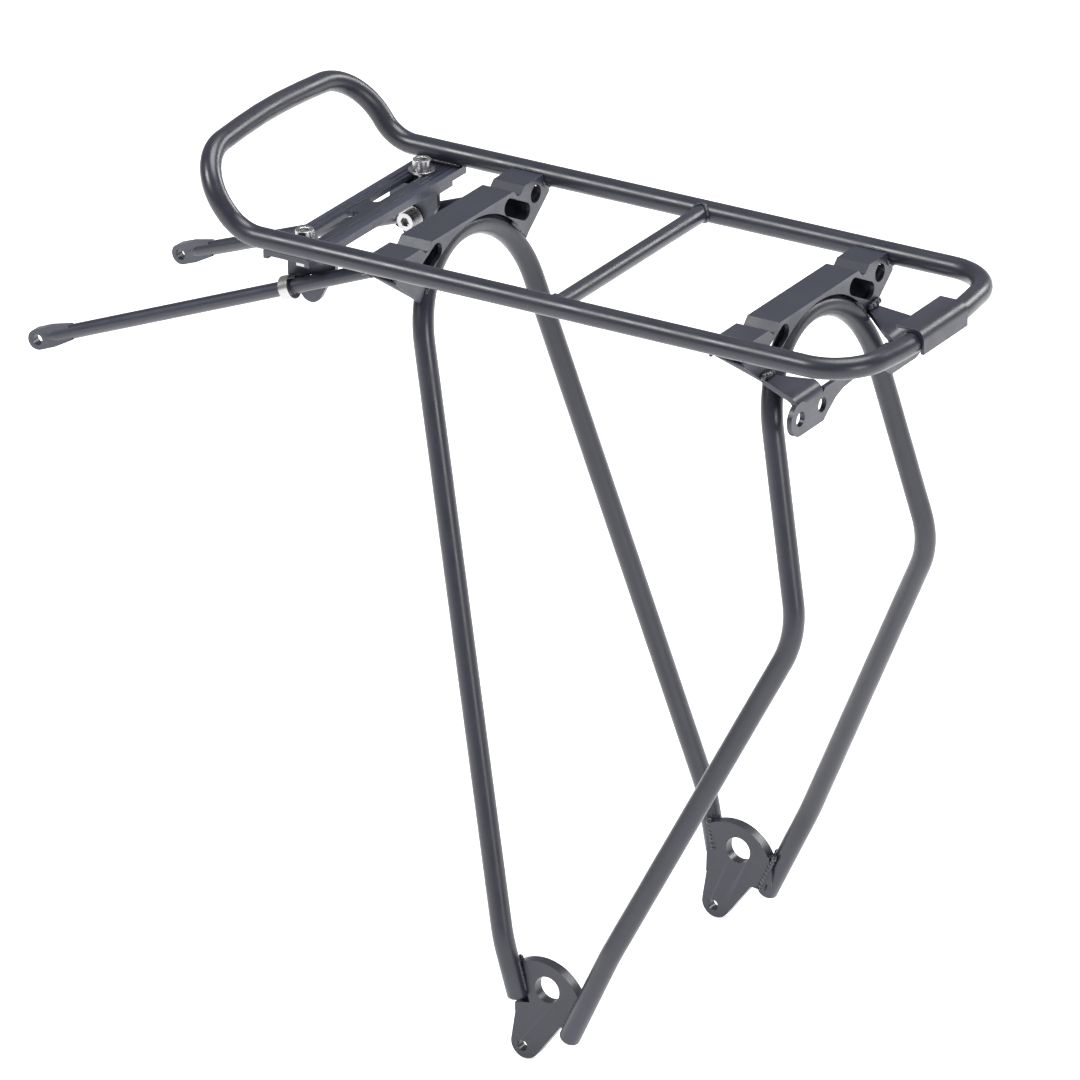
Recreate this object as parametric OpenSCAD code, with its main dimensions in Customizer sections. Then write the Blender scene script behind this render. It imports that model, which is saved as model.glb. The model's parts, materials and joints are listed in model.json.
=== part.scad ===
// Rear pannier rack for a bicycle, welded from round tube and pressed sheet.
// X points to the rear of the bicycle, Y to its right-hand side and Z up.
// The origin is midway between the two dropout bolt holes.

/* [Platform] */
// Height of the platform tubes' centre line above the dropout bolt holes
platform_z = 360.7; // [340:0.1:380]
// Distance from the middle plane to the centre line of each side tube
rail_y = 65; // [60:0.5:75]
// Outer diameter of the platform and strut tubes
tube_d = 10; // [9:0.5:10]
// Wall of the tubes
tube_wall = 1; // [0.8:0.1:1.6]
// Rear end of the platform, at the tube's centre line
hoop_x = 164; // [160:0.1:168]
// Bend radius of the two rear corners
hoop_r = 25; // [20:1:30]
// Place of the crossways tube
cross_x = 7; // [-20:1:40]
// Outer diameter of the crossways tube
cross_d = 8; // [7:0.5:9]

/* [Front hump] */
// Where the side tubes turn up at the front
hump_x = -160.3; // [-170:0.1:-155]
// Slope of the hump
hump_tilt = 51.4; // [45:0.1:60]
// Length of the hump along its slope
hump_l = 43; // [36:0.5:48]
// Half width of the hump at its corners
hump_y = 67; // [64:0.5:69]
// How far the hump's front tube bows forward
hump_bow = 4.5; // [2:0.5:6]
// Bend radius where the side tubes turn up
hump_bend_r = 22; // [15:1:30]
// Bend radius of the hump's corners
hump_corner_r = 26.5; // [24:0.1:32]

/* [Struts] */
// Place of the front strut's leg where its arch ends, along the bicycle
front_top_x = -69.6; // [-74:0.1:-65]
// Distance of the front strut's leg from the middle plane where its arch ends
front_top_y = 49.3; // [46:0.1:52]
// Place of the front strut's leg just above its dropout, along the bicycle
front_low_x = -9.4; // [-14:0.1:-5]
// Distance of both struts' legs from the middle plane just above the dropouts
low_y = 89; // [86:0.1:92]
// Radius of the front strut's arch
front_arch_r = 47; // [44:0.5:50]
// Place of the rear strut's leg where its arch ends, along the bicycle
rear_top_x = 112.4; // [108:0.1:117]
// Distance of the rear strut's leg from the middle plane where its arch ends
rear_top_y = 48.3; // [46:0.1:52]
// Place of the rear strut's knee, along the bicycle
knee_x = 129.1; // [120:0.1:135]
// Distance of the rear strut's knee from the middle plane
knee_y = 59.1; // [55:0.1:63]
// Height of the rear strut's knee
knee_z = 225.7; // [215:0.1:235]
// Place of the rear strut's leg just above its dropout, along the bicycle
rear_low_x = 49.3; // [45:0.1:54]
// Radius of the rear strut's arch
rear_arch_r = 46.4; // [44:0.2:50]
// Bend radius of the rear strut's knee
rear_knee_r = 44; // [30:1:60]

/* [Bridges] */
// Middle of the front bridge
front_bridge_x = -85.2; // [-88:0.1:-82]
// Middle of the rear bridge
rear_bridge_x = 97; // [94:0.5:100]
// Width of a bridge from its front wall to its rear wall
bridge_w = 16.8; // [15:0.2:19]
// Sheet thickness of the bridges
bridge_t = 2; // [1.5:0.1:2.5]

/* [Light bracket] */
// Rear face of the light bracket
light_x = 125.6; // [123:0.1:127]
// Distance from the middle plane to each inner hole
light_inner_y = 31.5; // [30:0.5:33]
// Distance from the middle plane to each outer hole
light_outer_y = 50.5; // [49:0.5:52]
// Diameter of the four light holes
light_hole_d = 7; // [5:0.5:8]

/* [Stay rail] */
// Middle of the slotted cross rail that carries the stays
stay_rail_x = -135; // [-138:0.5:-132]
// Width of the cross rail
stay_rail_w = 24.6; // [22:0.2:27]
// Length of the cross rail
stay_rail_l = 133; // [128:1:138]

/* [Stays] */
// Distance from the middle plane to each slot bolt
slot_bolt_y = 49.2; // [47:0.1:51]
// Slope of the stays, rising to the rear
stay_tilt = 21; // [15:0.5:25]
// How far the stays spread outward per unit of length forward
stay_spread = 0.065; // [0.04:0.005:0.08]
// Diameter of the stays
stay_d = 7; // [6:0.5:8]
// Place of the clamp on the left bracket
left_clamp_x = -144; // [-146:0.5:-136]
// Place of the clamp on the right bracket
right_clamp_x = -137; // [-146:0.5:-136]

/* [Dropouts] */
// Distance from the middle plane to the middle of each dropout plate
dropout_y = 84.6; // [83:0.1:86]
// Thickness of the dropout plates
dropout_t = 5.4; // [4:0.2:6]
// Diameter of the dropout bolt hole
dropout_hole_d = 5.3; // [5.1:0.1:6.5]

/* [Hidden] */

$fn = 48;
eps = 0.01;
tube_r = tube_d / 2;
bore_r = tube_r - tube_wall;
cross_r = cross_d / 2;
// A bend laps the straight tube by a little, and its wall is a touch thicker
bend_lap = 0.4;
bend_swell = 0.05;
left = -1;
right = 1;

// Rear hoop: a flat stretch in the middle, then a slight sweep to the corners
hoop_flat_y = 25;
hoop_corner_x = hoop_x - 5.2;
hoop_sweep_r = 120;
loop_gap = 0.5;
hump_bow_r = 380;

// Struts
ref_high_z = 300;
ref_low_z = 60;
front_top = [front_top_x, front_top_y];
front_low = [front_low_x, low_y];
rear_top = [rear_top_x, rear_top_y];
rear_knee = [knee_x, knee_y, knee_z];
rear_low = [rear_low_x, low_y];
front_ankle_z = 54;
rear_ankle_z = 59;
front_foot = [-1.8, 88, 27];
rear_foot = [26.5, 88.1, 12];
ankle_r = 60;
plug_l = 5;
dome_h = 2.8;

// Joint sleeve
sleeve_l = 39;
sleeve_t = 1.2;
sleeve_r = 5.2;
sleeve_top = 7;
spigot_l = 36;

// Bridges
bridge_top = 363.2;
bridge_pad_drop = 0.4;
groove_y = [34.5, 38, 40.4, 43.9];
groove_depth = 3.6;
rear_gusset = [[67.5, 354.6], [47.5, 339], [45, 336.5], [0, 336.5]];
front_gusset = [[64, 355], [56, 352], [46, 347.5], [0, 347.5]];
round_hole = [53.5, 355.4];
round_hole_r = 4.3;
slant_hole = [37.5, 353.4];
slant_hole_r = 4.2;
slant_hole_half_l = 7.6;
slant_angle = 27;
wall_gap = 0.85;
rail_gap = 0.02;

// Light bracket
light_t = 2.5;
light_hole_z = 327;
light_arm_z = 338.4;
light_bend_r = 6;
light_bottom_z = 319;
light_slope = 12;
fold_steps = 10;
fold_centre = [light_x - light_bend_r, light_arm_z - light_bend_r];
light_arm_y = [31, 53.4];
light_arm_front_y = [43, 49.5];
fold_tail = 0.8;
bridge_rear_x = rear_bridge_x + bridge_w / 2;
light_web_z = [329.5, 334.4];

// Stay rail
rail_sheet = 2.5;
stay_rail_top = platform_z - tube_r - 0.02;
stay_flange_h = 4;
slot_inner_y = 9.8;
slot_outer_y = 55;
slot_w = 5.6;
rib_h = 0.45;

// Brackets, bolts and clamps
bracket_t = 2.5;
bracket_top = stay_rail_top - stay_flange_h - 0.05;
bracket_w = 26;
plate_outer_y = 44.2;
plate_inner_y = plate_outer_y - bracket_t;
slot_bolt_x = -136;
m5_r = 2.5;
m5_hole_r = 2.6;
head_r = 4.3;
head_h = 5;
washer_t = 1;
washer_r = 6.4;
washer_hole_r = 2.7;
nut_af = 8;
nut_h = 4;
slot_bolt_l = 12;
eye_r = 5.8;
eye_w = 5;
eye_y = 50.6;
eye_shoulder_r = 4;
clamp_washer_r = 6.6;
stay_r = stay_d / 2;
stay_gap = 0.06;
stay_tip_x = -282;
stay_rear_x = -101;
paddle_l = 16;
paddle_t = 5;
paddle_w = 10;
paddle_hole_d = 5.3;

// Dropouts
big_hole_d = 13;
big_hole = [13.8, 32];
top_arc = [9.5, 22.6];
top_arc_r = 22.7;
tip = [1.5, 1.5];
tip_r = 7.5;
cut_gap = 0.02;

// ---------- vector helpers ----------

function unit(v) = v / norm(v);
function mirrored(p) = [p[0], -p[1], p[2]];
function turn(a, p, b) = acos(max(-1, min(1, unit(p - a) * unit(b - p))));
function setback(a, p, b, r) = r * tan(turn(a, p, b) / 2);

// Point on a leg's straight line at height z
function leg_at(top, low, z) =
    let (k = (z - ref_low_z) / (ref_high_z - ref_low_z))
    [low[0] + k * (top[0] - low[0]), low[1] + k * (top[1] - low[1]), z];

// Height at which a leg's line would reach the middle plane
function apex_z(top, slope) = ref_high_z + top[1] / slope;

// A hollow straight piece from a to b
module tube_piece(a, b, r, bore) {
    d = unit(b - a);
    side = abs(d[2]) < 0.9 ? [0, 0, 1] : [1, 0, 0];
    x = unit(cross(side, d));
    y = cross(d, x);
    multmatrix([
        [x[0], y[0], d[0], a[0]],
        [x[1], y[1], d[1], a[1]],
        [x[2], y[2], d[2], a[2]],
        [0, 0, 0, 1]
    ])
    linear_extrude(norm(b - a))
    ring(r, bore);
}

module ring(r, bore) {
    if (bore > 0) {
        difference() {
            circle(r);
            circle(bore);
        }
    } else {
        circle(r);
    }
}

// A hollow bend at p, between the directions to a and to b
module bend_piece(a, p, b, bend_r, r, bore) {
    d1 = unit(p - a);
    d2 = unit(b - p);
    angle = turn(a, p, b);
    n = unit(cross(d1, d2));
    x = cross(d1, n);
    start = p - d1 * setback(a, p, b, bend_r);
    c = start - x * bend_r;
    lap = bend_lap / bend_r * 180 / PI;
    multmatrix([
        [x[0], d1[0], n[0], c[0]],
        [x[1], d1[1], n[1], c[1]],
        [x[2], d1[2], n[2], c[2]],
        [0, 0, 0, 1]
    ])
    rotate(-lap)
    rotate_extrude(angle = angle + 2 * lap, $fn = 96)
    translate([bend_r, 0])
    ring(r + bend_swell, bore > 0 ? bore - bend_swell : 0, $fn = 48);
}

// A tube through the given points, with a bend radius at each inner point
module bent_tube(points, radii, r, bore) {
    last = len(points) - 1;
    for (i = [0:last - 1]) {
        a = points[i];
        b = points[i + 1];
        d = unit(b - a);
        cut_a = i == 0 ? 0 : setback(points[i - 1], a, b, radii[i]);
        cut_b = i + 1 == last ? 0 : setback(a, b, points[i + 2], radii[i + 1]);
        tube_piece(a + d * cut_a, b - d * cut_b, r, bore);
        if (i > 0) bend_piece(points[i - 1], a, b, radii[i], r, bore);
    }
}

// ---------- platform ----------

function hump_point(s, y) = [
    hump_x - s * cos(hump_tilt), y, platform_z + s * sin(hump_tilt)
];

loop_half = [
    [hoop_x, loop_gap, platform_z],
    [hoop_x, hoop_flat_y, platform_z],
    [hoop_corner_x, rail_y, platform_z],
    [hump_x, rail_y, platform_z],
    hump_point(hump_l - hump_bow, hump_y)
];
loop_half_r = [0, hoop_sweep_r, hoop_r, hump_bend_r, hump_corner_r];
loop_points = concat(
    loop_half,
    [hump_point(hump_l, 0)],
    [for (i = [len(loop_half) - 1:-1:0]) mirrored(loop_half[i])]
);
loop_radii = concat(
    loop_half_r,
    [hump_bow_r],
    [for (i = [len(loop_half_r) - 1:-1:0]) loop_half_r[i]]
);

module top_loop() {
    color("#3d4048")
    bent_tube(loop_points, loop_radii, tube_r, bore_r);
}

// Folded cover around the joint of the loop's two ends
module loop_joint_sleeve() {
    top = sleeve_top;
    rear = tube_r + bend_swell + cut_gap + sleeve_t;
    front = -8;
    bottom = -4.6;
    color("#3d4048")
    translate([hoop_x, sleeve_l / 2, platform_z])
    rotate([90, 0, 0])
    linear_extrude(sleeve_l)
    difference() {
        union() {
            translate([front, 0]) square([rear - sleeve_r - front, top]);
            translate([front, bottom]) square([rear - front, -bottom + top - sleeve_r]);
            translate([rear - sleeve_r, top - sleeve_r]) circle(sleeve_r);
        }
        circle(tube_r + bend_swell + cut_gap);
        translate([front - 1, bottom - 1]) square([tube_r + 1, 1 - bottom + top - sleeve_t]);
        translate([-tube_r - eps, bottom - 1]) square([tube_d - 0.6, 1 - bottom]);
    }
}

// Inner pin that joins the two ends of the loop
module loop_joint_spigot() {
    color("silver")
    translate([hoop_x, spigot_l / 2, platform_z])
    rotate([90, 0, 0])
    cylinder(r = bore_r - bend_swell - cut_gap, h = spigot_l);
}

module cross_tube() {
    color("#3d4048")
    difference() {
        tube_piece(
            [cross_x, -rail_y, platform_z], [cross_x, rail_y, platform_z],
            cross_r, cross_r - 1
        );
        for (s = [left, right])
            translate([cross_x - tube_d, s * rail_y, platform_z])
            rotate([0, 90, 0])
            cylinder(r = tube_r, h = 2 * tube_d);
    }
}

// ---------- struts ----------

front_slope = (front_low[1] - front_top[1]) / (ref_high_z - ref_low_z);
front_apex = leg_at(front_top, front_low, apex_z(front_top, front_slope));
front_leg = [front_foot, leg_at(front_top, front_low, front_ankle_z)];

rear_slope = (rear_knee[1] - rear_top[1]) / (ref_high_z - rear_knee[2]);
rear_apex_z = apex_z(rear_top, rear_slope);
rear_lean = (rear_top[0] - rear_knee[0]) / (ref_high_z - rear_knee[2]);
rear_apex = [
    rear_top[0] + rear_lean * (rear_apex_z - ref_high_z), 0, rear_apex_z
];
rear_shin = [rear_low[0], rear_low[1], ref_low_z];
rear_ankle = rear_knee + (rear_shin - rear_knee)
    * (rear_knee[2] - rear_ankle_z) / (rear_knee[2] - ref_low_z);
rear_leg = [rear_foot, rear_ankle, rear_knee];

module front_arch() {
    points = concat(
        front_leg, [[front_apex[0], 0, front_apex[2]]],
        [mirrored(front_leg[1]), mirrored(front_leg[0])]
    );
    color("#3d4048")
    bent_tube(points, [0, ankle_r, front_arch_r, ankle_r, 0], tube_r, bore_r);
}

module rear_arch() {
    points = concat(
        rear_leg, [rear_apex],
        [mirrored(rear_leg[2]), mirrored(rear_leg[1]), mirrored(rear_leg[0])]
    );
    radii = [0, ankle_r, rear_knee_r, rear_arch_r, rear_knee_r, ankle_r, 0];
    color("#3d4048")
    bent_tube(points, radii, tube_r, bore_r);
}

// Domed plug in the lower end of a leg
module leg_plug(foot, above) {
    d = unit(above - foot);
    dome_r = (tube_r * tube_r + dome_h * dome_h) / (2 * dome_h);
    tube_piece(foot - d * eps, foot + d * plug_l, bore_r - eps, 0);
    intersection() {
        translate(foot + d * (dome_r - dome_h)) sphere(dome_r);
        tube_piece(foot - d * tube_r, foot, tube_r, 0);
    }
}

module leg_plugs() {
    color("#3d4048")
    for (leg = [front_leg, rear_leg]) {
        leg_plug(leg[0], leg[1]);
        leg_plug(mirrored(leg[0]), mirrored(leg[1]));
    }
}

// ---------- bridges ----------

// Upper outline of a bridge on one side, from the middle to the side tube
function bridge_crest(drop) = [
    [0, bridge_top - drop],
    [groove_y[0], bridge_top - drop],
    [groove_y[1], bridge_top - groove_depth - drop],
    [groove_y[2], bridge_top - groove_depth - drop],
    [groove_y[3], bridge_top - bridge_pad_drop - drop],
    [rail_y, bridge_top - bridge_pad_drop - drop]
];

function flipped(points) = [
    for (i = [len(points) - 1:-1:0]) [-points[i][0], points[i][1]]
];

// Cross section of one of the bridge's walls, seen along the bicycle
module bridge_wall_outline(arch_z, arch_r, gusset) {
    side = [rail_y, bridge_top - bridge_pad_drop];
    half = concat(bridge_crest(0), [[gusset[0][0], side[1]]], gusset);
    difference() {
        polygon(concat(flipped(half), half));
        translate([0, arch_z]) circle(arch_r + tube_r + wall_gap, $fn = 96);
    }
}

// Lightening holes of the rear wall
module bridge_holes() {
    for (s = [left, right]) {
        translate([s * round_hole[0], round_hole[1]]) circle(round_hole_r);
        translate([s * slant_hole[0], slant_hole[1]])
        rotate(-s * slant_angle)
        hull()
        for (k = [-slant_hole_half_l, slant_hole_half_l])
            translate([k, 0]) circle(slant_hole_r);
    }
}

module bridge_shell(arch_z, arch_r) {
    crest = bridge_crest(0);
    under = bridge_crest(bridge_t);
    // top sheet
    rotate([90, 0, 90])
    linear_extrude(bridge_w, center = true) {
        polygon(concat(
            flipped(crest), crest,
            [for (i = [len(under) - 1:-1:0]) under[i]],
            [for (p = under) [-p[0], p[1]]]
        ));
    }
    // front wall, closed and shallow
    translate([-(bridge_w - bridge_t) / 2, 0, 0])
    rotate([90, 0, 90])
    linear_extrude(bridge_t, center = true)
    bridge_wall_outline(arch_z, arch_r, front_gusset);
    // rear wall, with gussets that reach down to the strut and lightening holes
    translate([(bridge_w - bridge_t) / 2, 0, 0])
    rotate([90, 0, 90])
    linear_extrude(bridge_t, center = true)
    difference() {
        bridge_wall_outline(arch_z, arch_r, rear_gusset);
        bridge_holes();
    }
}

module bridge(x, arch_top, arch_r) {
    difference() {
        translate([x, 0, 0]) bridge_shell(arch_top - arch_r, arch_r);
        for (s = [left, right])
            translate([x - bridge_w, s * rail_y, platform_z])
            rotate([0, 90, 0])
            cylinder(r = tube_r + rail_gap, h = 2 * bridge_w);
        for (s = [left, right])
            translate([x - bridge_w, s * (rail_y + 20), platform_z])
            cube([4 * bridge_w, 40, 20], center = true);
    }
}

module front_bridge() {
    color("#454951")
    bridge(front_bridge_x, 355.5, front_arch_r);
}

module rear_bridge() {
    color("#454951")
    bridge(rear_bridge_x, 355.2, rear_arch_r);
}

// ---------- light bracket ----------

// Lower edge and lobe of the bracket's upright sheet, one side, Y and Z
module light_lobe() {
    r = 8;
    difference() {
        union() {
            translate([light_outer_y, light_hole_z]) circle(r);
            polygon([
                [0, light_web_z[0]], [13, light_web_z[0] - 1], [19.5, light_web_z[0] - 3],
                [26.5, light_bottom_z + 3], [30.3, light_bottom_z],
                [light_outer_y, light_bottom_z], [light_outer_y + 7.2, light_hole_z + 3.5],
                [53.4, light_arm_z - light_bend_r], [31, light_arm_z - light_bend_r],
                [30.6, light_web_z[1] - 1.5], [29, light_web_z[1]], [0, light_web_z[1]]
            ]);
        }
        translate([light_outer_y, light_hole_z]) circle(d = light_hole_d);
        translate([light_inner_y, light_hole_z]) circle(d = light_hole_d);
    }
}

// Points of the bend around its centre, from the upright to the arm
function fold_arc(r) = [
    for (i = [0:fold_steps])
        let (a = i / fold_steps * (90 - light_slope))
        [fold_centre[0] + r * cos(a), fold_centre[1] + r * sin(a)]
];

// Cross section of the bend and the arm, X and Z
module light_fold() {
    inner_r = light_bend_r - light_t;
    outer = fold_arc(light_bend_r);
    inner = fold_arc(inner_r);
    arm = 3 * light_bend_r * [-cos(light_slope), sin(light_slope)];
    polygon(concat(
        [[light_x, fold_centre[1] - fold_tail]], outer, [outer[fold_steps] + arm],
        [inner[fold_steps] + arm],
        [for (i = [fold_steps:-1:0]) inner[i]],
        [[light_x - light_t, fold_centre[1] - fold_tail]]
    ));
}

module light_bracket() {
    front = bridge_rear_x + rail_gap;
    bend_x = fold_centre[0] + light_bend_r * sin(light_slope);
    color("#3d4048")
    for (s = [left, right])
        on_side(s) {
            // upright sheet
            translate([light_x - light_t, 0, 0])
            rotate([90, 0, 90])
            linear_extrude(light_t)
            light_lobe();
            // bend and arm, which ends against the bridge's rear wall
            intersection() {
                translate([0, 2 * light_arm_y[1], 0])
                rotate([90, 0, 0])
                linear_extrude(2 * light_arm_y[1])
                light_fold();
                translate([0, 0, light_hole_z])
                linear_extrude(30)
                polygon([
                    [light_x + light_t, light_arm_y[0]], [light_x + light_t, light_arm_y[1]],
                    [bend_x, light_arm_y[1]], [front, light_arm_front_y[1]],
                    [front, light_arm_front_y[0]], [bend_x, light_arm_y[0]]
                ]);
            }
        }
}

// ---------- stay rail ----------

module stay_rail_section() {
    w = stay_rail_w / 2;
    translate([-w, -rail_sheet]) square([stay_rail_w, rail_sheet]);
    for (s = [left, right])
        translate([s * (w - rail_sheet / 2) - rail_sheet / 2, -stay_flange_h])
        square([rail_sheet, stay_flange_h - eps]);
    for (x = [-8.6, -6, 5.2, 7.6])
        translate([x - 0.6, -eps]) square([1.2, rib_h + eps]);
}

module stay_rail() {
    color("#454951")
    difference() {
        translate([stay_rail_x, stay_rail_l / 2, stay_rail_top])
        rotate([90, 0, 0])
        linear_extrude(stay_rail_l)
        stay_rail_section();
        for (s = [left, right])
            translate([slot_bolt_x, 0, stay_rail_top - rail_sheet - 1])
            linear_extrude(rail_sheet + 3)
            slot_outline(s);
        // the ribs end under the side tubes
        for (s = [left, right])
            translate([stay_rail_x - stay_rail_w, s * rail_y, platform_z])
            rotate([0, 90, 0])
            cylinder(r = tube_r, h = 2 * stay_rail_w);
    }
}

module slot_outline(s) {
    r = slot_w / 2;
    translate([-r, min(s * slot_inner_y, s * slot_outer_y)])
    square([slot_w, slot_outer_y - slot_inner_y]);
    for (y = [slot_inner_y, slot_outer_y]) translate([0, s * y]) circle(r);
}

// ---------- brackets, clamps and stays ----------

// Each of these is drawn for the right side; the left one is its mirror image
module on_side(s) {
    if (s == right) children();
    else mirror([0, 1, 0]) children();
}

module socket_head() {
    difference() {
        cylinder(r = head_r, h = head_h);
        translate([0, 0, head_h - 2.6]) cylinder(r = 2.35, h = 4, $fn = 6);
    }
}

module slot_bolt() {
    seat = stay_rail_top + rib_h + washer_t;
    color("silver")
    translate([slot_bolt_x, slot_bolt_y, seat]) {
        socket_head();
        translate([0, 0, -slot_bolt_l]) cylinder(r = m5_r, h = slot_bolt_l + 1);
    }
}

module slot_washer() {
    color("silver")
    translate([slot_bolt_x, slot_bolt_y, stay_rail_top + rib_h])
    linear_extrude(washer_t)
    difference() {
        circle(washer_r);
        circle(washer_hole_r);
    }
}

module slot_nut() {
    color("silver")
    translate([slot_bolt_x, slot_bolt_y, bracket_top - bracket_t - nut_h])
    linear_extrude(nut_h)
    difference() {
        circle(nut_af / sqrt(3), $fn = 6);
        circle(m5_r);
    }
}

// Upright plate of the angle bracket, X and Z
module bracket_plate() {
    w = bracket_w / 2;
    lobe = [slot_bolt_x - 0.6, 330.2];
    lobe_r = 6;
    difference() {
        union() {
            polygon([
                [slot_bolt_x - w, bracket_top], [slot_bolt_x + w, bracket_top],
                [slot_bolt_x + w, 343], [lobe[0] + 5.2, lobe[1] - 3],
                [lobe[0] - 5.6, lobe[1] - 2.2], [slot_bolt_x - w + 3, 329.5],
                [slot_bolt_x - w, 333]
            ]);
            translate(lobe) circle(lobe_r);
        }
        translate([-140.5, 333.6])
        rotate(stay_tilt)
        union() {
            translate([-4.6, -m5_hole_r]) square([9.2, 2 * m5_hole_r]);
            translate([-4.6, 0]) circle(m5_hole_r);
            translate([4.6, 0]) circle(m5_hole_r);
        }
    }
}

module angle_bracket() {
    color("#3d4048")
    difference() {
        union() {
            translate([0, plate_outer_y, 0])
            rotate([90, 0, 0])
            linear_extrude(bracket_t)
            bracket_plate();
            translate([slot_bolt_x - bracket_w / 2, plate_inner_y, bracket_top - bracket_t])
            cube([bracket_w, slot_bolt_y + 6 - plate_inner_y, bracket_t]);
        }
        translate([slot_bolt_x, slot_bolt_y, bracket_top - 2 * bracket_t])
        cylinder(r = m5_hole_r, h = 3 * bracket_t);
    }
}

// Height of a stay's centre line at the clamp at x
function stay_z(x) = 332.3 + (x + 144) * tan(stay_tilt);

// Puts +Z along a stay, pointing forward and down, with its origin in the clamp
module along_stay(x) {
    d = unit([-cos(stay_tilt), stay_spread * cos(stay_tilt), -sin(stay_tilt)]);
    a = unit(cross([0, 1, 0], d));
    b = cross(d, a);
    multmatrix([
        [a[0], b[0], d[0], x],
        [a[1], b[1], d[1], eye_y],
        [a[2], b[2], d[2], stay_z(x)],
        [0, 0, 0, 1]
    ])
    children();
}

module clamp_eye(x) {
    color("silver")
    difference() {
        union() {
            along_stay(x)
            translate([0, 0, -eye_w / 2])
            cylinder(r = eye_r, h = eye_w);
            translate([x, eye_y, stay_z(x)])
            rotate([90, 0, 0])
            cylinder(r = eye_shoulder_r, h = eye_y - plate_outer_y - 0.02);
        }
        along_stay(x)
        translate([0, 0, -2 * eye_w])
        cylinder(r = stay_r + stay_gap, h = 4 * eye_w);
        translate([x, eye_y - stay_r - 0.5, stay_z(x)])
        rotate([90, 0, 0])
        cylinder(r = m5_r, h = eye_y);
    }
}

module clamp_bolt(x) {
    shank = eye_y - stay_r - 0.8 - (plate_inner_y - washer_t);
    color("silver")
    translate([x, plate_inner_y - washer_t, stay_z(x)])
    rotate([90, 0, 0]) {
        socket_head();
        translate([0, 0, -shank]) cylinder(r = m5_r, h = shank + 1);
    }
}

module clamp_washer(x) {
    color("silver")
    translate([x, plate_inner_y, stay_z(x)])
    rotate([90, 0, 0])
    linear_extrude(washer_t)
    difference() {
        circle(clamp_washer_r);
        circle(m5_r);
    }
}

// Round rod, flattened at its front end and drilled for the bolt on the frame
module stay(x) {
    rear_l = (stay_rear_x - x) / cos(stay_tilt);
    front_l = (x - stay_tip_x) / cos(stay_tilt);
    color("#3d4048")
    difference() {
        union() {
            along_stay(x)
            translate([0, 0, -rear_l])
            cylinder(r = stay_r, h = rear_l + front_l - paddle_l);
            along_stay(x) paddle(front_l);
        }
        along_stay(x)
        translate([0, 0, front_l - paddle_w / 2])
        rotate([90, 0, 0])
        cylinder(d = paddle_hole_d, h = 4 * paddle_t, center = true);
    }
}

// Flattened end, reaching to l along the stay
module paddle(l) {
    neck = 8;
    rotate([90, 0, 0])
    linear_extrude(paddle_t, center = true)
    union() {
        translate([0, l - paddle_w / 2]) circle(paddle_w / 2);
        polygon([
            [-stay_r, l - paddle_l - neck], [stay_r, l - paddle_l - neck],
            [paddle_w / 2, l - paddle_l + 3], [paddle_w / 2, l - paddle_w / 2],
            [-paddle_w / 2, l - paddle_w / 2], [-paddle_w / 2, l - paddle_l + 3]
        ]);
    }
    translate([0, 0, l - paddle_l - eps]) cylinder(r1 = stay_r, r2 = paddle_t / 2, h = 6);
}

// ---------- dropouts ----------

module dropout_outline() {
    difference() {
        union() {
            intersection() {
                translate(top_arc) circle(top_arc_r, $fn = 96);
                translate([-3.4, 18]) square([40, 40]);
            }
            hull() {
                translate(tip) circle(tip_r);
                translate([18.6, 14.4]) circle(1.5);
                translate([-3.2, 18]) square(1);
            }
            polygon([[-3.8, 17], [28, 14], [31, 32], [-3, 40]]);
        }
        circle(d = dropout_hole_d);
        translate(big_hole) circle(d = big_hole_d);
    }
}

module dropout() {
    color("#3d4048")
    difference() {
        translate([0, dropout_y + dropout_t / 2, 0])
        rotate([90, 0, 0])
        linear_extrude(dropout_t)
        dropout_outline();
        for (leg = [front_leg, rear_leg]) {
            d = unit(leg[1] - leg[0]);
            tube_piece(leg[0] - d * tube_r, leg[0] + d * 60, tube_r + cut_gap, 0);
        }
    }
}

top_loop();
loop_joint_sleeve();
loop_joint_spigot();
cross_tube();
front_arch();
rear_arch();
leg_plugs();
front_bridge();
rear_bridge();
light_bracket();
stay_rail();
on_side(left) dropout();  // dropout_left
on_side(right) dropout();  // dropout_right
on_side(left) slot_bolt();  // slot_bolt_left
on_side(left) slot_washer();  // slot_washer_left
on_side(left) slot_nut();  // slot_nut_left
on_side(left) angle_bracket();  // angle_bracket_left
on_side(left) clamp_eye(left_clamp_x);  // clamp_eye_left
on_side(left) clamp_bolt(left_clamp_x);  // clamp_bolt_left
on_side(left) clamp_washer(left_clamp_x);  // clamp_washer_left
on_side(left) stay(left_clamp_x);  // stay_left
on_side(right) slot_bolt();  // slot_bolt_right
on_side(right) slot_washer();  // slot_washer_right
on_side(right) slot_nut();  // slot_nut_right
on_side(right) angle_bracket();  // angle_bracket_right
on_side(right) clamp_eye(right_clamp_x);  // clamp_eye_right
on_side(right) clamp_bolt(right_clamp_x);  // clamp_bolt_right
on_side(right) clamp_washer(right_clamp_x);  // clamp_washer_right
on_side(right) stay(right_clamp_x);  // stay_right
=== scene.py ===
"""Bicycle rear rack: powder-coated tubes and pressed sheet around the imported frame."""
import json
from math import ceil, cos, pi, radians, sin, sqrt, tan

import bmesh
import bpy
from mathutils import Matrix, Vector


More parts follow.
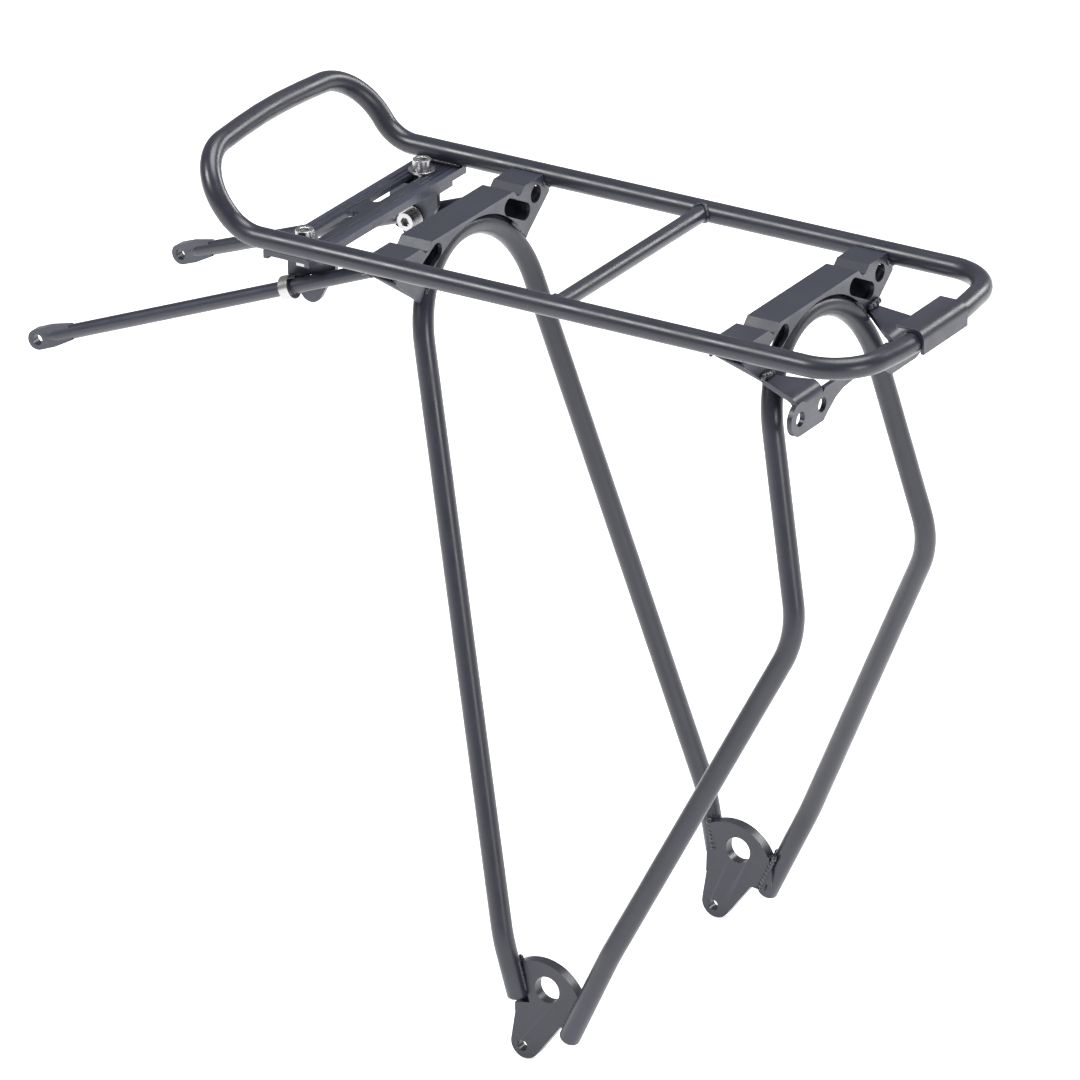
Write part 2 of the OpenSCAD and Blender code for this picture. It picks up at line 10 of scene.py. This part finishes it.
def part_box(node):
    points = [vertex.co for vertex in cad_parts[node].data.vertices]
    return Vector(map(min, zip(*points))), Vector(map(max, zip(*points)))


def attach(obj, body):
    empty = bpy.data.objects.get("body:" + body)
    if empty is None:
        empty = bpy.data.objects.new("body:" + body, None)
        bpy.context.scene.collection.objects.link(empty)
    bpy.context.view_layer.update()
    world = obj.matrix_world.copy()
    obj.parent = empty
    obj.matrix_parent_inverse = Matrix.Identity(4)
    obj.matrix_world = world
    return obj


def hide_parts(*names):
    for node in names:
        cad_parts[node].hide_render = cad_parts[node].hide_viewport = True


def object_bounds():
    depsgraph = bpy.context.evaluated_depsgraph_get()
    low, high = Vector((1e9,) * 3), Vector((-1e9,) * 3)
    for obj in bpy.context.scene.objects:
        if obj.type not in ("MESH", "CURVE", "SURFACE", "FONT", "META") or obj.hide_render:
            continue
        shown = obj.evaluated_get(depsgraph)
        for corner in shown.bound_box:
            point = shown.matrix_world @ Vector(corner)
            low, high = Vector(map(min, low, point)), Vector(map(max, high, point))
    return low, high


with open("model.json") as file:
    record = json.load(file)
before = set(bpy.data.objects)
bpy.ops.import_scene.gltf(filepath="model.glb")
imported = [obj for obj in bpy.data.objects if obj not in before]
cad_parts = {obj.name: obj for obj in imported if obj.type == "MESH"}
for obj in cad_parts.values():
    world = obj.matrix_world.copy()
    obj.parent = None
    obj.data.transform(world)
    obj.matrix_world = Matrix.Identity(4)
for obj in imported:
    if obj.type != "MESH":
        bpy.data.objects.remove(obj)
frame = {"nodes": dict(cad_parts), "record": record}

cad_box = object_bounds()
MM = 0.001
LEFT, RIGHT = -1, 1
SIDES = {"left": LEFT, "right": RIGHT}


def mm(x, y, z):
    return Vector((x, y, z)) * MM


# ------------------------------------------------------------------ sizes, in mm, as in the CAD part
PLATFORM_Z = 360.7
RAIL_Y = 65.0
TUBE_R = 5.0
HOOP_X = 164.0
HOOP_FLAT_Y = 25.0
HOOP_CORNER_X = HOOP_X - 5.2
HUMP_X = -160.3
HUMP_TILT = radians(51.4)
HUMP_L = 43.0
HUMP_Y = 67.0
HUMP_BOW = 4.5
HOOP_SWEEP_R, HOOP_CORNER_R = 120, 25
HUMP_BEND_R, HUMP_CORNER_R, HUMP_BOW_R = 22, 26.5, 380
CROSS_X, CROSS_R = 7.0, 4.0
HIGH_Z, LOW_Z = 300.0, 60.0
FRONT_TOP, FRONT_LOW = (-69.6, 49.3), (-9.4, 89.0)
REAR_TOP, REAR_LOW = (112.4, 48.3), (49.3, 89.0)
REAR_KNEE = Vector((129.1, 59.1, 225.7))
KNEE_R, ANKLE_R = 44, 60
FRONT_FOOT, REAR_FOOT = Vector((-1.8, 88.0, 27.0)), Vector((26.5, 88.1, 12.0))
FRONT_ANKLE_Z, REAR_ANKLE_Z = 54.0, 59.0
FRONT_ARCH_R, REAR_ARCH_R = 47.0, 46.4
BRIDGES = {"front_bridge": (-85.2, 308.5, FRONT_ARCH_R), "rear_bridge": (97.0, 308.8, REAR_ARCH_R)}
BRIDGE_W, FLANGE_T = 16.8, 1.2
PLATE_Y, PLATE_T = 84.6, 5.4
DOME = 2.8
PLUG_LAP = 0.4
HALF_GAP = 0.5
Y, Z = Vector((0, 1, 0)), Vector((0, 0, 1))


# ------------------------------------------------------------------ materials
class Nodes:
    """A material's node tree, with short calls to add and join nodes."""

    def __init__(self, name):
        self.material = bpy.data.materials.new(name)
        self.material.use_nodes = True
        self.tree = self.material.node_tree
        self.shader = self.tree.nodes["Principled BSDF"]
        self.coords = self.add("ShaderNodeTexCoord").outputs["Object"]

    def add(self, kind, **sockets):
        node = self.tree.nodes.new(kind)
        for key, value in sockets.items():
            node.inputs[key.replace("_", " ")].default_value = value
        return node

    def join(self, a, b):
        self.tree.links.new(a, b)

    def noise(self, scale, detail=3.0, roughness=0.5, stretch=None):
        node = self.add("ShaderNodeTexNoise", Scale=scale, Detail=detail, Roughness=roughness)
        if stretch:
            mapping = self.add("ShaderNodeMapping", Scale=stretch)
            self.join(self.coords, mapping.inputs["Vector"])
            self.join(mapping.outputs["Vector"], node.inputs["Vector"])
        else:
            self.join(self.coords, node.inputs["Vector"])
        return node.outputs["Fac"]

    def ramp(self, value, low, high, start=0.35, end=0.65):
        node = self.add("ShaderNodeMapRange", From_Min=start, From_Max=end, To_Min=low, To_Max=high)
        self.join(value, node.inputs["Value"])
        return node.outputs["Result"]

    def tint(self, value, dark, light, start=0.3, end=0.7):
        node = self.add("ShaderNodeValToRGB")
        ends = node.color_ramp.elements
        ends[0].position, ends[1].position = start, end
        ends[0].color, ends[1].color = (*dark, 1), (*light, 1)
        self.join(value, node.inputs["Fac"])
        return node.outputs["Color"]

    def bump(self, height, strength, distance, normal=None):
        node = self.add("ShaderNodeBump", Strength=strength, Distance=distance)
        self.join(height, node.inputs["Height"])
        if normal:
            self.join(normal, node.inputs["Normal"])
        return node.outputs["Normal"]

    def set(self, **sockets):
        for key, value in sockets.items():
            self.shader.inputs[key.replace("_", " ")].default_value = value


def powder_coat(name, dark, light, rough):
    """Satin powder coat: fine orange peel, faint mottling and a painted highlight that makes the
    edges paler.
    """
    m = Nodes(name)
    colour = m.tint(m.noise(26, 5, 0.6), dark, light)
    # painted highlight: sharp convex edges, found by Pointiness, are mixed towards a colour 2.2
    # times the light tone
    edge = m.add("ShaderNodeNewGeometry").outputs["Pointiness"]
    painted_edge_highlight = m.ramp(edge, 0.0, 0.55, 0.53, 0.62)
    mix = m.add("ShaderNodeMix")
    mix.data_type = "RGBA"
    m.join(painted_edge_highlight, mix.inputs["Factor"])
    m.join(colour, mix.inputs["A"])
    mix.inputs["B"].default_value = (*[min(1, 2.2 * c) for c in light], 1)
    m.join(mix.outputs["Result"], m.shader.inputs["Base Color"])
    m.join(m.ramp(m.noise(90, 4), rough - 0.05, rough + 0.06), m.shader.inputs["Roughness"])
    peel = m.bump(m.noise(750, 2, 0.4), 0.35, 0.00006)
    m.join(m.bump(m.noise(3200, 1), 0.2, 0.00002, peel), m.shader.inputs["Normal"])
    m.set(Metallic=0.0, Specular_IOR_Level=0.5, Coat_Weight=0.12, Coat_Roughness=0.3)
    return m.material


def bright_steel(name, grain):
    """Plated steel: fine turned marks, faint tarnish in patches."""
    m = Nodes(name)
    m.join(m.tint(m.noise(160, 4), (0.40, 0.395, 0.39), (0.50, 0.50, 0.51)),
           m.shader.inputs["Base Color"])
    m.join(m.ramp(m.noise(420, 3), 0.24, 0.32), m.shader.inputs["Roughness"])
    m.join(m.bump(m.noise(900, 2, 0.5, grain), 0.12, 0.00002), m.shader.inputs["Normal"])
    m.set(Metallic=1.0)
    return m.material


COAT = powder_coat("coat_tube", (0.013, 0.014, 0.024), (0.017, 0.0185, 0.030), 0.35)
COAT_SHEET = powder_coat("coat_sheet", (0.014, 0.016, 0.028), (0.019, 0.0215, 0.035), 0.40)
COAT_WELD = powder_coat("coat_weld", (0.019, 0.020, 0.027), (0.025, 0.027, 0.035), 0.30)
STEEL = bright_steel("steel_turned", (1, 1, 9))
STEEL_RING = bright_steel("steel_ring", (8, 1, 1))
LOOKS = {"coat": COAT, "coat_pressed": COAT_SHEET, "steel": STEEL}
SLOT_OF = {s["node"]: s["material_slot"] for s in frame["record"]["subparts"]}
BODY_OF = {n: b for b, ns in frame["record"]["behaviour"]["bodies"].items() for n in ns}


# ------------------------------------------------------------------ mesh helpers
def add_piece(name, mesh, body, material, slot, *replaced):
    piece = bpy.data.objects.new(name, mesh)
    bpy.context.scene.collection.objects.link(piece)
    mesh.materials.clear()
    mesh.materials.append(material)
    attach(piece, body)
    if replaced:
        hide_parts(*replaced)
    return piece


def smooth(mesh, angle=32):
    for face in mesh.polygons:
        face.use_smooth = True
    mesh.set_sharp_from_angle(angle=radians(angle))


def rounded(node, width, material=None, segments=3):
    """Stands for a CAD node with the same solid, its edges rounded to width millimetres."""
    mesh = frame["nodes"][node].data.copy()
    bm = bmesh.new()
    bm.from_mesh(mesh)
    bmesh.ops.remove_doubles(bm, verts=bm.verts, dist=2e-6)
    bmesh.ops.dissolve_limit(bm, angle_limit=radians(0.6), verts=bm.verts, edges=bm.edges)
    bm.to_mesh(mesh)
    bm.free()
    for key in [a.name for a in mesh.attributes if "normal" in a.name]:
        mesh.attributes.remove(mesh.attributes[key])
    smooth(mesh)
    slot = SLOT_OF[node]
    piece = add_piece("v_" + node, mesh, BODY_OF[node], material or LOOKS[slot], slot, node)
    bevel = piece.modifiers.new("edges", "BEVEL")
    bevel.width = width * MM
    bevel.segments = segments
    bevel.limit_method = "ANGLE"
    bevel.angle_limit = radians(35)
    bevel.harden_normals = True
    bevel.use_clamp_overlap = True
    return piece


def rounded_path(points, radii, step=radians(3)):
    """Corner points with bend radii to a dense centre line."""
    path = [points[0]]
    for a, p, b, r in zip(points, points[1:], points[2:], radii[1:]):
        d1, d2 = (p - a).normalized(), (b - p).normalized()
        angle = d1.angle(d2)
        start = p - d1 * r * tan(angle / 2)
        centre = start + (d2 - d1 * d1.dot(d2)).normalized() * r
        axis = d1.cross(d2)
        count = max(2, ceil(angle / step))
        for i in range(count + 1):
            path.append(centre + Matrix.Rotation(angle * i / count, 3, axis) @ (start - centre))
    path.append(points[-1])
    return path


def resampled(path, spacing):
    out, carry = [path[0]], 0.0
    for a, b in zip(path, path[1:]):
        length = (b - a).length
        while length - carry > spacing:
            carry += spacing
            out.append(a.lerp(b, carry / length))
        carry -= length
    out.append(path[-1])
    return out


def sweep(path, radius, around=48):
    """A closed tube mesh along path. radius is a number or a function of (index, turn)."""
    mesh = bpy.data.meshes.new("sweep")
    bm = bmesh.new()
    tangent = (path[1] - path[0]).normalized()
    side = tangent.orthogonal().normalized()
    rings = []
    for i, p in enumerate(path):
        ahead = path[min(i + 1, len(path) - 1)] - path[max(i - 1, 0)]
        turn = tangent.rotation_difference(ahead.normalized())
        side, tangent = (turn @ side).normalized(), ahead.normalized()
        up = tangent.cross(side)
        ring = []
        for k in range(around):
            a = 2 * pi * k / around
            r = radius(i, a) if callable(radius) else radius
            ring.append(bm.verts.new((p + (side * cos(a) + up * sin(a)) * r) * MM))
        rings.append(ring)
    for lower, upper in zip(rings, rings[1:]):
        for k in range(around):
            n = (k + 1) % around
            bm.faces.new((lower[k], lower[n], upper[n], upper[k]))
    bm.faces.new(reversed(rings[0]))
    bm.faces.new(rings[-1])
    bmesh.ops.recalc_face_normals(bm, faces=bm.faces)
    bm.to_mesh(mesh)
    bm.free()
    smooth(mesh, 40)
    return mesh


def mirrored(p):
    return Vector((p[0], -p[1], p[2]))


# ------------------------------------------------------------------ camera
AZIMUTH, ELEVATION, ROLL = radians(32.18), radians(24.258), radians(-0.5385)
FOCAL_LENGTH, SENSOR = 337.8667, 36.0
CAMERA_AT = mm(2211.3, -3582.0, 2117.35)

right = Vector((cos(AZIMUTH), sin(AZIMUTH), 0))
forward = Vector((-sin(AZIMUTH) * cos(ELEVATION), cos(AZIMUTH) * cos(ELEVATION), -sin(ELEVATION)))
up = right.cross(forward)
across = cos(ROLL) * right + sin(ROLL) * up
upright = -sin(ROLL) * right + cos(ROLL) * up
data = bpy.data.cameras.new("camera")
data.sensor_width = SENSOR
data.lens = FOCAL_LENGTH
data.clip_end = 50
camera = bpy.data.objects.new("camera", data)
camera.matrix_world = Matrix((
    (across.x, upright.x, -forward.x, CAMERA_AT.x),
    (across.y, upright.y, -forward.y, CAMERA_AT.y),
    (across.z, upright.z, -forward.z, CAMERA_AT.z),
    (0, 0, 0, 1),
))
bpy.context.scene.collection.objects.link(camera)
bpy.context.scene.camera = camera

# ------------------------------------------------------------------ tubes


def hump_point(s, y):
    return Vector((HUMP_X - s * cos(HUMP_TILT), y, PLATFORM_Z + s * sin(HUMP_TILT)))


half = [
    Vector((HOOP_X, HALF_GAP, PLATFORM_Z)), Vector((HOOP_X, HOOP_FLAT_Y, PLATFORM_Z)),
    Vector((HOOP_CORNER_X, RAIL_Y, PLATFORM_Z)), Vector((HUMP_X, RAIL_Y, PLATFORM_Z)),
    hump_point(HUMP_L - HUMP_BOW, HUMP_Y),
]
half_r = [0, HOOP_SWEEP_R, HOOP_CORNER_R, HUMP_BEND_R, HUMP_CORNER_R]
loop = half + [hump_point(HUMP_L, 0)] + [mirrored(p) for p in reversed(half)]
loop_r = half_r + [HUMP_BOW_R] + half_r[::-1]
add_piece(
    "platform_loop", sweep(rounded_path(loop, loop_r), TUBE_R),
    "frame", COAT, "coat", "top_loop",
)


def leg_at(top, low, z):
    k = (z - LOW_Z) / (HIGH_Z - LOW_Z)
    return Vector((low[0] + k * (top[0] - low[0]), low[1] + k * (top[1] - low[1]), z))


front_slope = (FRONT_LOW[1] - FRONT_TOP[1]) / (HIGH_Z - LOW_Z)
front_apex = leg_at(FRONT_TOP, FRONT_LOW, HIGH_Z + FRONT_TOP[1] / front_slope)
front_apex.y = 0
front_ankle = leg_at(FRONT_TOP, FRONT_LOW, FRONT_ANKLE_Z)
front_points = [FRONT_FOOT, front_ankle, front_apex, mirrored(front_ankle), mirrored(FRONT_FOOT)]

knee_drop = HIGH_Z - REAR_KNEE.z
rear_rise = REAR_TOP[1] / ((REAR_KNEE.y - REAR_TOP[1]) / knee_drop)
rear_apex = Vector((
    REAR_TOP[0] + (REAR_TOP[0] - REAR_KNEE.x) / knee_drop * rear_rise, 0, HIGH_Z + rear_rise,
))
shin = Vector((REAR_LOW[0], REAR_LOW[1], LOW_Z))
rear_ankle = REAR_KNEE.lerp(shin, (REAR_KNEE.z - REAR_ANKLE_Z) / (REAR_KNEE.z - LOW_Z))
rear_leg = [REAR_FOOT, rear_ankle, REAR_KNEE]
rear_points = rear_leg + [rear_apex] + [mirrored(p) for p in reversed(rear_leg)]

add_piece(
    "front_strut", sweep(rounded_path(front_points, [0, ANKLE_R, FRONT_ARCH_R, ANKLE_R]), TUBE_R),
    "frame", COAT, "coat", "front_arch",
)
rear_radii = [0, ANKLE_R, KNEE_R, REAR_ARCH_R, KNEE_R, ANKLE_R]
add_piece(
    "rear_strut", sweep(rounded_path(rear_points, rear_radii), TUBE_R),
    "frame", COAT, "coat", "rear_arch",
)


def foot_plug(tag, side, foot, above):
    """Domed plug that closes one leg's foot, with a shallow step where it meets the tube."""
    d = (above - foot).normalized()
    turns = [pi / 2 * (i / 12) for i in reversed(range(13))]
    line = [foot - d * DOME * sin(t) for t in turns] + [foot + d * PLUG_LAP]
    widths = [TUBE_R * cos(t) ** 0.75 + 0.02 for t in turns] + [TUBE_R - 0.25]
    plug = sweep(line, lambda i, a: widths[i])
    return add_piece(f"plug_{tag}_{side}", plug, "frame", COAT, "coat")


for tag, foot, above in (("front", FRONT_FOOT, front_ankle), ("rear", REAR_FOOT, rear_ankle)):
    foot_plug(tag, "left", mirrored(foot), mirrored(above))
    foot_plug(tag, "right", foot, above)
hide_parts("leg_plugs")

cross = [Vector((CROSS_X, y, PLATFORM_Z)) for y in (-RAIL_Y + 2, -20, 20, RAIL_Y - 2)]
add_piece("cross_bar", sweep(cross, CROSS_R), "frame", COAT, "coat", "cross_tube")

# ------------------------------------------------------------------ pressed sheet and hardware
for node, width in (
    ("front_bridge", 0.55), ("rear_bridge", 0.55), ("light_bracket", 0.5),
    ("stay_rail", 0.25), ("loop_joint_sleeve", 0.5), ("dropout_left", 0.6), ("dropout_right", 0.6),
):
    rounded(node, width)
for side in SIDES:
    rounded(f"angle_bracket_{side}", 0.4)
    rounded(f"stay_{side}", 0.4)
    rounded(f"slot_bolt_{side}", 0.35)
    rounded(f"slot_washer_{side}", 0.2)
    rounded(f"slot_nut_{side}", 0.3)
    rounded(f"clamp_eye_{side}", 0.6, STEEL_RING)
    rounded(f"clamp_bolt_{side}", 0.35)
    rounded(f"clamp_washer_{side}", 0.2)
spigot = frame["nodes"]["loop_joint_spigot"]
spigot.data.materials.clear()
spigot.data.materials.append(STEEL)


# ------------------------------------------------------------------ weld beads
BEAD_STEP = 0.28
TAPER_STEPS = 5


def bead(name, points, r, pitch=1.9):
    """A rippled weld bead along points, with tapered ends."""
    path = resampled(points, BEAD_STEP)
    total = len(path) - 1

    def radius(i, a):
        s = i * BEAD_STEP
        ripple = abs(sin(pi * s / pitch + 0.5 * cos(a)))
        wander = 1 + 0.07 * sin(0.9 * s + r) + 0.05 * sin(2.3 * s)
        taper = min(1, sqrt(max(0.02, min(i, total - i) / TAPER_STEPS)))
        return r * (0.78 + 0.26 * ripple) * wander * taper

    add_piece(name, sweep(path, radius, 20), "frame", COAT_WELD, "coat")


def circle_points(centre, u, v, r, start, end, count=24):
    return [
        centre + (u * cos(t) + v * sin(t)) * r
        for t in (radians(start + (end - start) * i / count) for i in range(count + 1))
    ]


def weld_cross_bar(side, s):
    """Round the crossways tube's end, on the side tube."""
    toe = CROSS_R + 0.3
    saddle = []
    for i in range(49):
        t = 2 * pi * i / 48
        rise = toe * sin(t)
        inward = sqrt(TUBE_R ** 2 - rise ** 2) + 0.2
        saddle.append(Vector((
            CROSS_X + toe * cos(t), s * (RAIL_Y - inward), PLATFORM_Z + rise,
        )))
    bead(f"weld_cross_{side}", saddle, 0.85, 1.7)


def weld_bridge(tag, side, s):
    """Along the side tube, round it at both walls, and down the strut's arch."""
    x, arch_z, arch_r = BRIDGES[tag]
    pad_y, pad_z = s * (RAIL_Y - 4.75), PLATFORM_Z + 2.35
    pad_reach = BRIDGE_W / 2 - 1
    bead(f"weld_{tag}_pad_{side}", [
        Vector((x - pad_reach, pad_y, pad_z)), Vector((x + pad_reach, pad_y, pad_z)),
    ], 0.6)
    # the front wall reaches less far down the arch than the rear wall
    for face, f, low_end in (("front", -1, 50), ("rear", 1, 37)):
        wall_x = x + f * (BRIDGE_W / 2 + 0.1)
        rail = Vector((wall_x, s * RAIL_Y, PLATFORM_Z))
        bead(f"weld_{tag}_{face}_{side}", circle_points(
            rail, Y * -s, Z, TUBE_R + 0.4, -8, -112), 0.8)
        arch = Vector((wall_x, 0, arch_z))
        bead(f"weld_{tag}_arch_{face}_{side}", circle_points(
            arch, Y * s, Z, arch_r + TUBE_R - 0.4, low_end, low_end + 14), 1.1, 2.2)


def bridge_flange(tag, side, s):
    """Inward flange that closes the bridge's underside between its two walls."""
    x = BRIDGES[tag][0]
    reach = BRIDGE_W / 2 - 0.8
    front_line = [(63.5, 354.2), (56, 351.6), (46, 347.3), (38, 347.3)]
    rear_line = [(66.3, 353.4), (47.3, 338.6), (45, 337.0), (38, 337.0)]
    corners = [mm(x - reach, s * y, z) for y, z in front_line]
    corners += [mm(x + reach, s * y, z) for y, z in rear_line]
    flange = bpy.data.meshes.new("flange")
    flange.from_pydata(corners, [], [(i, i + 1, i + 5, i + 4) for i in range(3)])
    smooth(flange, 40)
    piece = add_piece(f"{tag}_flange_{side}", flange, "frame", COAT_SHEET, "coat")
    piece.modifiers.new("sheet", "SOLIDIFY").thickness = FLANGE_T * MM


def weld_light_bracket(side, s):
    """The bracket's arm, against the rear bridge's rear wall."""
    wall_x = BRIDGES["rear_bridge"][0] + BRIDGE_W / 2
    bead(f"weld_light_{side}", [
        Vector((wall_x + 0.9, s * 41.5, 342.2)), Vector((wall_x + 1.1, s * 47, 342.9)),
        Vector((wall_x + 0.8, s * 52, 343.4)),
    ], 1.7, 2.8)


def weld_stay_rail(side, s):
    """Along both sides of the side tube, over the stay rail's end."""
    low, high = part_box("stay_rail")
    front_x, rear_x = low.x / MM + 0.8, high.x / MM - 0.8
    for tag, y, lift, r in (("inner", RAIL_Y - 3.6, 1.0, 0.9), ("outer", RAIL_Y + 1.4, 0.1, 0.7)):
        z = PLATFORM_Z - TUBE_R + lift
        bead(f"weld_stay_rail_{tag}_{side}", [
            Vector((front_x, s * y, z)), Vector((rear_x, s * y, z)),
        ], r)


def weld_dropout(side, s):
    """The dropout plate against its two legs, on its outer and inner face."""
    for tag, foot, ankle, turn, top in (
        ("front", FRONT_FOOT, front_ankle, 1, 0.62), ("rear", REAR_FOOT, rear_ankle, -1, 0.44),
    ):
        d = (ankle - foot).normalized()
        normal = Vector((d.z, 0, -d.x)).normalized() * turn
        start, end = foot + d, foot.lerp(ankle, top)
        outer = normal * 4.9 + Y * (PLATE_Y + PLATE_T / 2 + 0.2 - foot.y)
        inner = normal * 2.6 - Y * (foot.y - PLATE_Y + PLATE_T / 2 - 0.2)
        for face, shift, r in (("outer", outer, 0.9), ("inner", inner, 1.3)):
            line = [start + shift, end + shift]
            if s == LEFT:
                line = [mirrored(p) for p in line]
            bead(f"weld_dropout_{tag}_{face}_{side}", line, r, 2.1)


for side, s in SIDES.items():
    weld_cross_bar(side, s)
    for tag in BRIDGES:
        weld_bridge(tag, side, s)
        bridge_flange(tag, side, s)
    weld_light_bracket(side, s)
    weld_stay_rail(side, s)
    weld_dropout(side, s)

# ------------------------------------------------------------------ floor and light
FLOOR_SIZE, FLOOR_GAP = 30, 0.0005
WORLD_STRENGTH = 0.36
TARGET = Vector((0, 0, 0.2))

floor = bmesh.new()
bmesh.ops.create_grid(floor, x_segments=2, y_segments=2, size=FLOOR_SIZE)
floor_mesh = bpy.data.meshes.new("floor")
floor.to_mesh(floor_mesh)
floor.free()
floor_piece = bpy.data.objects.new("floor", floor_mesh)
floor_piece.location.z = cad_box[0][2] - FLOOR_GAP
pale = Nodes("floor_white")
pale.join(pale.tint(pale.noise(3, 2), (0.93, 0.93, 0.935), (0.95, 0.95, 0.955)),
          pale.shader.inputs["Base Color"])
pale.set(Roughness=0.9, Emission_Color=(1, 1, 1, 1), Emission_Strength=0.62)
floor_mesh.materials.append(pale.material)
bpy.context.scene.collection.objects.link(floor_piece)

world = bpy.data.worlds.new("studio")
bpy.context.scene.world = world
world.use_nodes = True
background = world.node_tree.nodes["Background"]
background.inputs["Color"].default_value = (1, 1, 1, 1)
background.inputs["Strength"].default_value = WORLD_STRENGTH
bpy.context.scene.view_settings.view_transform = "Standard"

for name, place, size, power in (
    ("key", (-1.5, -1.7, 2.3), 0.9, 52), ("top", (0.2, 0.5, 2.5), 1.5, 46),
    ("fill", (2.4, -0.8, 0.9), 0.8, 20), ("rim", (1.0, 2.4, 1.4), 1.0, 30),
):
    light = bpy.data.lights.new(name, "AREA")
    light.shape = "DISK"
    light.size = size
    light.energy = power
    lamp = bpy.data.objects.new(name, light)
    lamp.location = place
    lamp.rotation_euler = (TARGET - Vector(place)).to_track_quat("-Z", "Y").to_euler()
    bpy.context.scene.collection.objects.link(lamp)
